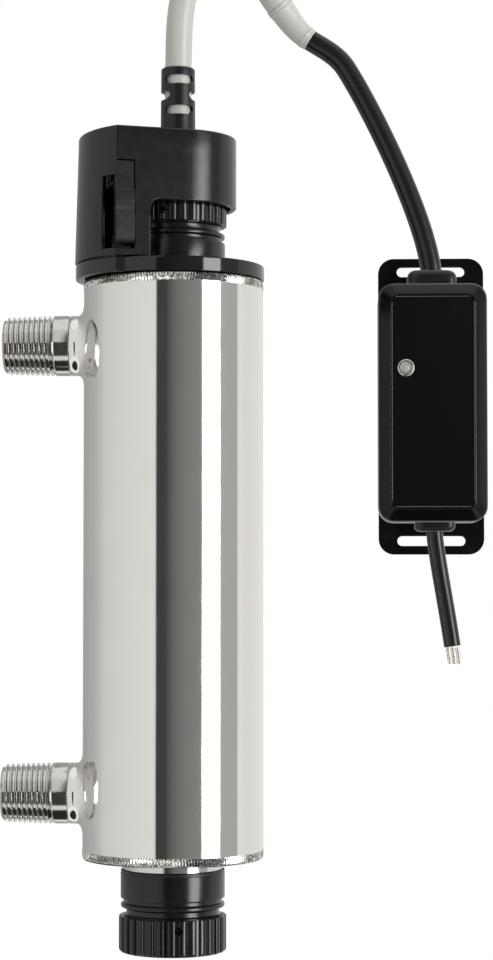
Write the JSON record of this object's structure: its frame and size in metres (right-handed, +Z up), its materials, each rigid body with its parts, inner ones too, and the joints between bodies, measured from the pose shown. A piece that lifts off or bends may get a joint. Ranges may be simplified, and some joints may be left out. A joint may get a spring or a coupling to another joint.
{
  "type": "uv clarifier",
  "caption": "Inline ultraviolet water clarifier: polished stainless chamber with side pipe ports, ribbed gland nuts, a plug-in lamp head and a separate cord-connected driver box.",
  "frame": {"origin": "on the chamber's axis, half way between the outer faces of its end plates", "axes": "+Z up along the chamber towards the lamp head, -X out of the two pipe ports, +Y towards the driver's flat back, -Y the front"},
  "size_m": [0.1721, 0.0702, 0.3597],
  "materials": {
    "stainless_polished": "polished",
    "stainless_machined": "machined",
    "plastic_satin_black": "satin",
    "plastic_gloss_black": "gloss",
    "plastic_grey": "satin",
    "rubber_black": "matt",
    "quartz_glass": "clear",
    "ceramic_white": "satin",
    "brass": "polished",
    "tungsten": "satin",
    "nickel_wire": "satin",
    "steel_zinc": "satin",
    "cord_white": "satin",
    "cord_black": "satin",
    "wire_insulation": "satin",
    "circuit_board": "satin",
    "ferrite": "matt",
    "capacitor_sleeve": "gloss",
    "clear_lens": "clear"
  },
  "bodies": {
    "root": {"chamber_tube": "stainless_polished", "upper_end_plate": "stainless_machined", "lower_end_plate": "stainless_machined", "inlet_nipple": "stainless_machined", "outlet_nipple": "stainless_machined", "flange_ring": "plastic_satin_black", "upper_gland_body": "plastic_satin_black", "lower_gland_body": "plastic_satin_black", "lower_neck_gasket": "rubber_black", "upper_oring": "rubber_black", "lower_oring": "rubber_black", "quartz_sleeve": "quartz_glass", "output_cord": "cord_black", "driver_base": "plastic_gloss_black", "driver_cover": "plastic_gloss_black", "driver_panel": "plastic_gloss_black", "cover_screws": "steel_zinc", "driver_board": "circuit_board", "driver_transformer": "ferrite", "driver_capacitors": "capacitor_sleeve", "driver_fuse": "ceramic_white", "driver_leads": "wire_insulation", "indicator_bezel": "steel_zinc", "indicator_lens": "clear_lens", "output_grommet": "rubber_black", "input_grommet": "rubber_black", "power_cord": "cord_black", "power_cord_conductors": "wire_insulation"},
    "head": {"head_housing": "plastic_satin_black", "socket_carrier": "plastic_satin_black", "carrier_screws": "steel_zinc", "lamp_socket": "ceramic_white", "socket_contacts": "brass", "latch_pin": "steel_zinc", "latch_spring": "steel_zinc", "strain_relief": "rubber_black", "lamp_cord": "cord_white", "cord_wires": "wire_insulation", "cord_splice": "cord_white"},
    "lamp": {"lamp_tube": "quartz_glass", "lamp_lower_cap": "ceramic_white", "lamp_base": "ceramic_white", "lamp_pins": "brass", "lamp_filaments": "tungsten", "lamp_return_wire": "nickel_wire"},
    "latch": {"latch_lever": "plastic_satin_black"},
    "upper_washer": {"upper_thrust_washer": "plastic_grey"},
    "upper_nut": {"upper_gland_nut": "plastic_gloss_black"},
    "lower_washer": {"lower_thrust_washer": "plastic_grey"},
    "lower_nut": {"lower_gland_nut": "plastic_gloss_black"}
  },
  "joints": [
    {"name": "head_lift", "type": "slide", "parent": "root", "child": "head", "axis": [0, 0, 1], "range_m": [0, 0.245]},
    {"name": "lamp_unplug", "type": "slide", "parent": "head", "child": "lamp", "axis": [0, 0, 1], "range_m": [-0.008, 0], "stiffness_N_per_m": 2000},
    {"name": "latch_press", "type": "hinge", "parent": "head", "child": "latch", "pos_m": [-0.01653, -0.02388, 0.133], "axis": [0.9455, 0.3256, 0], "range_deg": [0, 6], "stiffness_Nm_per_rad": 0.05},
    {"name": "upper_nut_travel", "type": "slide", "parent": "root", "child": "upper_washer", "axis": [0, 0, 1], "range_m": [0, 0.00601]},
    {"name": "upper_nut_turn", "type": "hinge", "parent": "upper_washer", "child": "upper_nut", "pos_m": [0, 0, 0.128], "axis": [0, 0, 1], "range_deg": [0, 720], "stiffness_Nm_per_rad": 0.01},
    {"name": "lower_nut_travel", "type": "slide", "parent": "root", "child": "lower_washer", "axis": [0, 0, -1], "range_m": [0, 0.00601]},
    {"name": "lower_nut_turn", "type": "hinge", "parent": "lower_washer", "child": "lower_nut", "pos_m": [0, 0, -0.128], "axis": [0, 0, -1], "range_deg": [0, 720], "stiffness_Nm_per_rad": 0.01}
  ],
  "couplings": [
    {"joint": "upper_nut_travel", "follows": "upper_nut_turn", "m_per_rad": 0.00047746},
    {"joint": "lower_nut_travel", "follows": "lower_nut_turn", "m_per_rad": 0.00047746}
  ]
}
